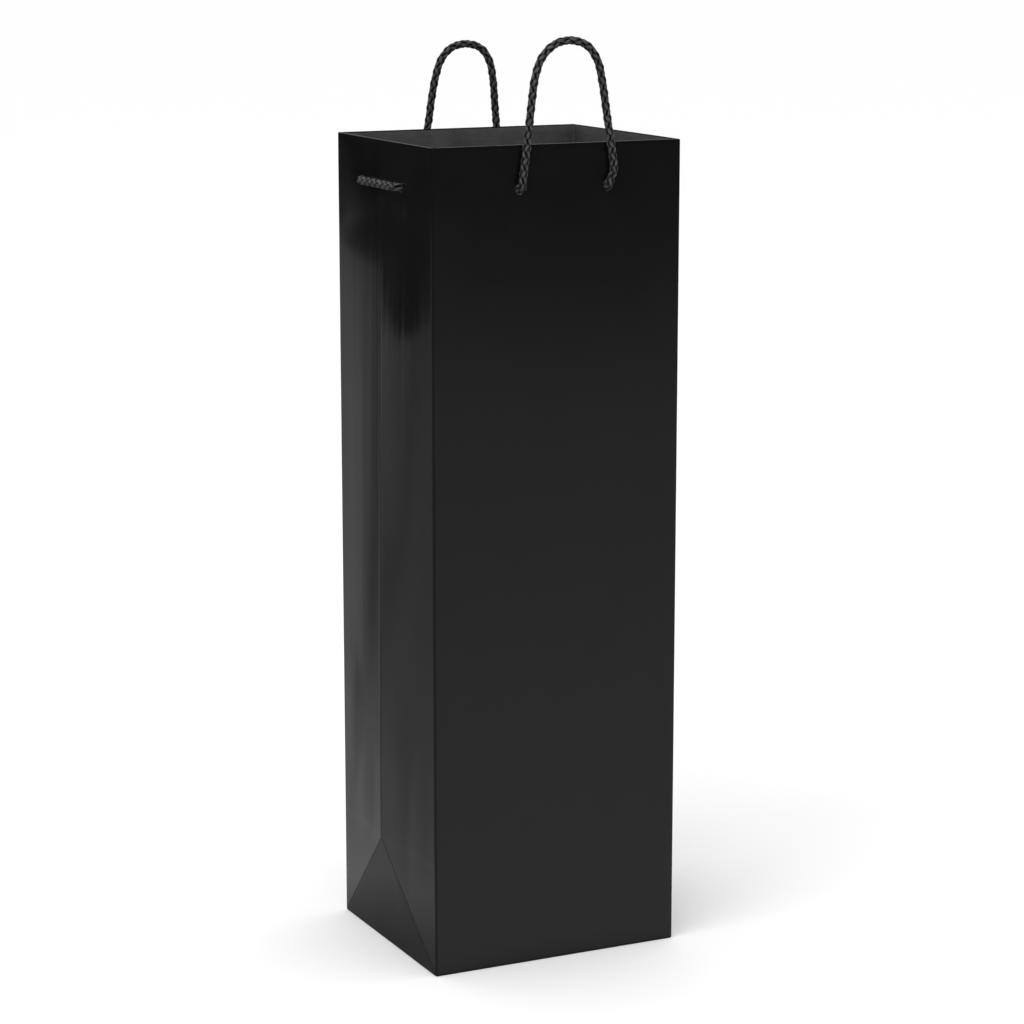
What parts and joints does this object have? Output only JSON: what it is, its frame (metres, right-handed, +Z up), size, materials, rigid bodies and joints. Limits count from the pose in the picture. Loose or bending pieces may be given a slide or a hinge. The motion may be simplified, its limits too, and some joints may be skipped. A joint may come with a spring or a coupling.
{
  "type": "wine gift bag",
  "caption": "Tall gusseted paper carrier for one bottle, with two braided cord handles, a folded hem, a glued block bottom and a loose base board.",
  "frame": {"origin": "middle of the base, on the surface that the bag stands on", "axes": "+Z up to the rim, front panel faces -Y, gussets at -X and +X"},
  "size_m": [0.1256, 0.108, 0.4002],
  "materials": {
    "printed_paper": "gloss film laminate, black print",
    "rim_card": "uncoated board",
    "greyboard": "black lined board",
    "braided_cord": "braided polypropylene",
    "join_sleeve": "matt"
  },
  "bodies": {
    "bag": {"front_panel": "printed_paper", "back_panel": "printed_paper", "left_gusset": "printed_paper", "right_gusset": "printed_paper", "seam_tab": "printed_paper", "front_hem": "printed_paper", "back_hem": "printed_paper", "left_hem": "printed_paper", "right_hem": "printed_paper", "front_bottom_flap": "printed_paper", "back_bottom_flap": "printed_paper", "left_bottom_tuck": "printed_paper", "right_bottom_tuck": "printed_paper", "front_rim_card": "rim_card", "back_rim_card": "rim_card", "inner_cord_front_left": "braided_cord", "inner_cord_front_right": "braided_cord", "inner_cord_back_left": "braided_cord", "inner_cord_back_right": "braided_cord", "gusset_cord_left": "braided_cord", "gusset_cord_right": "braided_cord", "cord_join_sleeve": "join_sleeve"},
    "base_board": {"base_board": "greyboard"},
    "front_handle_legs": {"front_handle_left_leg": "braided_cord", "front_handle_right_leg": "braided_cord"},
    "front_handle_arch": {"front_handle_arch": "braided_cord"},
    "back_handle_legs": {"back_handle_left_leg": "braided_cord", "back_handle_right_leg": "braided_cord"},
    "back_handle_arch": {"back_handle_arch": "braided_cord"}
  },
  "joints": [
    {"name": "front_handle_swing", "type": "hinge", "parent": "bag", "child": "front_handle_legs", "pos_m": [0.001, -0.05215, 0.3377], "axis": [1, 0, 0], "range_deg": [0, 170]},
    {"name": "front_handle_lean", "type": "hinge", "parent": "front_handle_legs", "child": "front_handle_arch", "pos_m": [0.001, -0.05215, 0.3585], "axis": [-1, 0, 0], "range_deg": [0, 80]},
    {"name": "back_handle_swing", "type": "hinge", "parent": "bag", "child": "back_handle_legs", "pos_m": [0.0015, 0.05215, 0.3377], "axis": [-1, 0, 0], "range_deg": [0, 170]},
    {"name": "back_handle_lean", "type": "hinge", "parent": "back_handle_legs", "child": "back_handle_arch", "pos_m": [0.0015, 0.05215, 0.3585], "axis": [1, 0, 0], "range_deg": [0, 80]},
    {"name": "base_board_lift", "type": "slide", "parent": "bag", "child": "base_board", "axis": [0, 0, 1], "range_m": [0, 0.3]}
  ]
}
